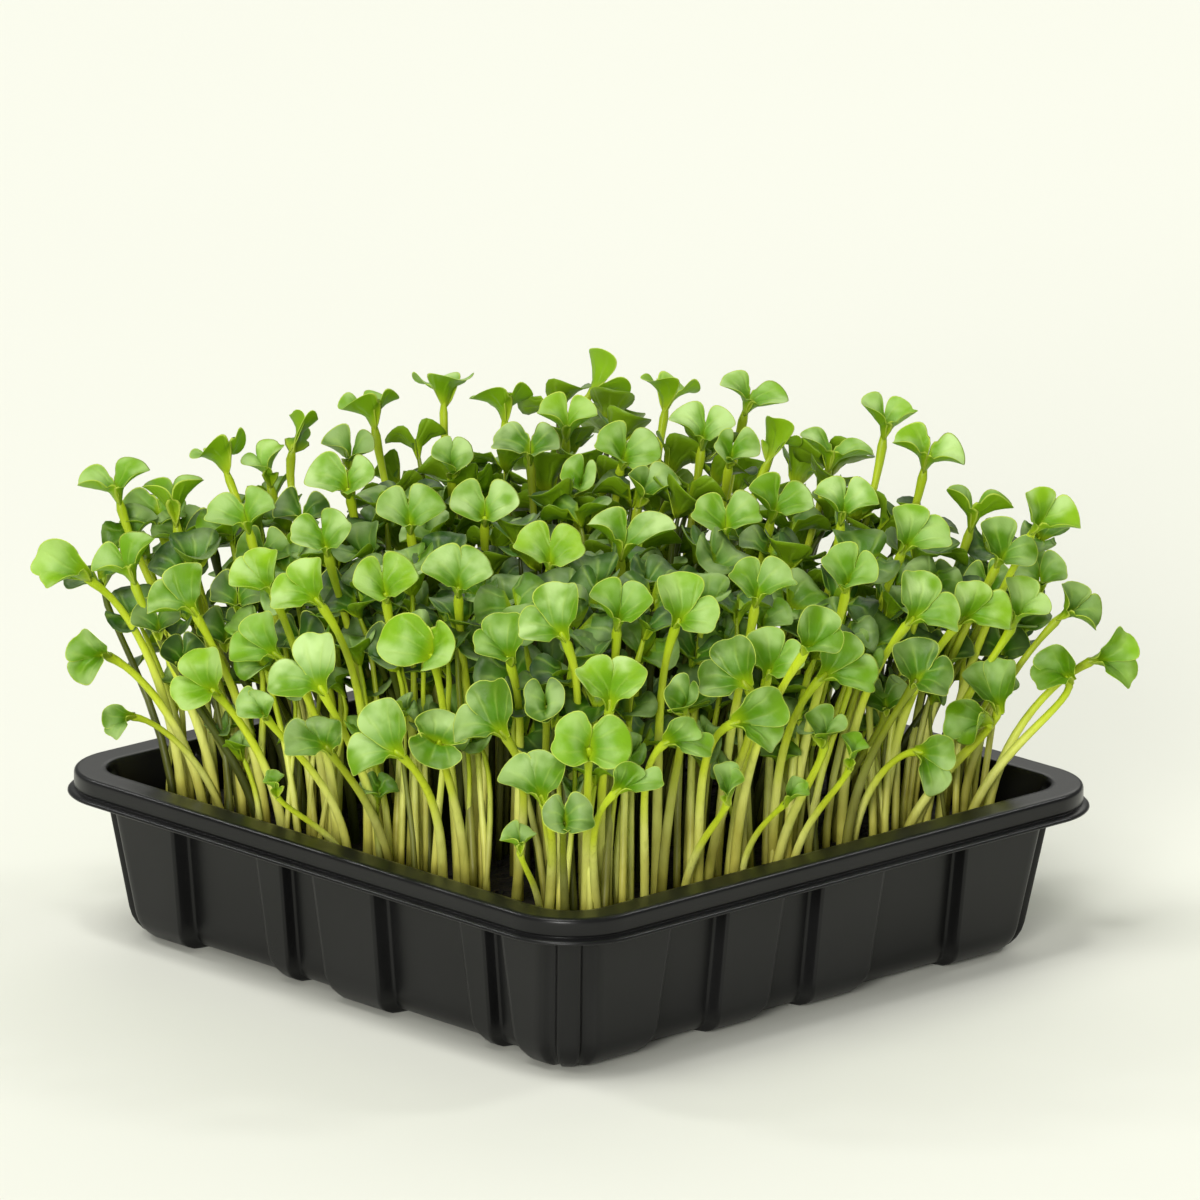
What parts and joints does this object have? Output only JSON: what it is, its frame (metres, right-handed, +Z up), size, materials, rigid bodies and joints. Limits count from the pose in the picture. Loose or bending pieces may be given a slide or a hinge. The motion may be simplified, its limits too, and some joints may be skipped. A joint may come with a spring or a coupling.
{
  "type": "microgreens tray",
  "caption": "Square black seedling tray with a rolled rim, filled with growing medium and dense upright microgreens with paired notched seed leaves.",
  "frame": {"origin": "centre of the tray's underside, on the surface that it stands on", "axes": "+Z up; +X and +Y square to the tray's walls, with the corner nearest the picture's camera towards +X and -Y"},
  "size_m": [0.1383, 0.1449, 0.0888],
  "materials": {
    "tray": "satin",
    "growing_medium": "matte",
    "seedling": "satin"
  },
  "bodies": {
    "root": {"tray": "tray", "growing_medium": "growing_medium", "seedling_01": "seedling", "seedling_02": "seedling", "seedling_03": "seedling", "seedling_04": "seedling", "seedling_05": "seedling", "seedling_06": "seedling", "seedling_07": "seedling", "seedling_08": "seedling", "seedling_09": "seedling", "seedling_10": "seedling", "seedling_11": "seedling", "seedling_12": "seedling", "seedling_13": "seedling", "seedling_14": "seedling", "seedling_15": "seedling", "seedling_16": "seedling", "seedling_17": "seedling", "seedling_18": "seedling", "seedling_19": "seedling", "seedling_20": "seedling", "seedling_21": "seedling", "seedling_22": "seedling", "seedling_23": "seedling", "seedling_24": "seedling", "seedling_25": "seedling", "seedling_26": "seedling", "seedling_27": "seedling", "seedling_28": "seedling", "seedling_29": "seedling", "seedling_30": "seedling", "seedling_31": "seedling", "seedling_32": "seedling", "seedling_33": "seedling", "seedling_34": "seedling", "seedling_35": "seedling", "seedling_36": "seedling", "seedling_37": "seedling", "seedling_38": "seedling", "seedling_39": "seedling", "seedling_40": "seedling", "seedling_41": "seedling", "seedling_42": "seedling", "seedling_43": "seedling", "seedling_44": "seedling", "seedling_45": "seedling", "seedling_46": "seedling", "seedling_47": "seedling", "seedling_48": "seedling", "seedling_49": "seedling", "seedling_50": "seedling", "seedling_51": "seedling", "seedling_52": "seedling", "seedling_53": "seedling", "seedling_54": "seedling", "seedling_55": "seedling", "seedling_56": "seedling"}
  },
  "joints": []
}
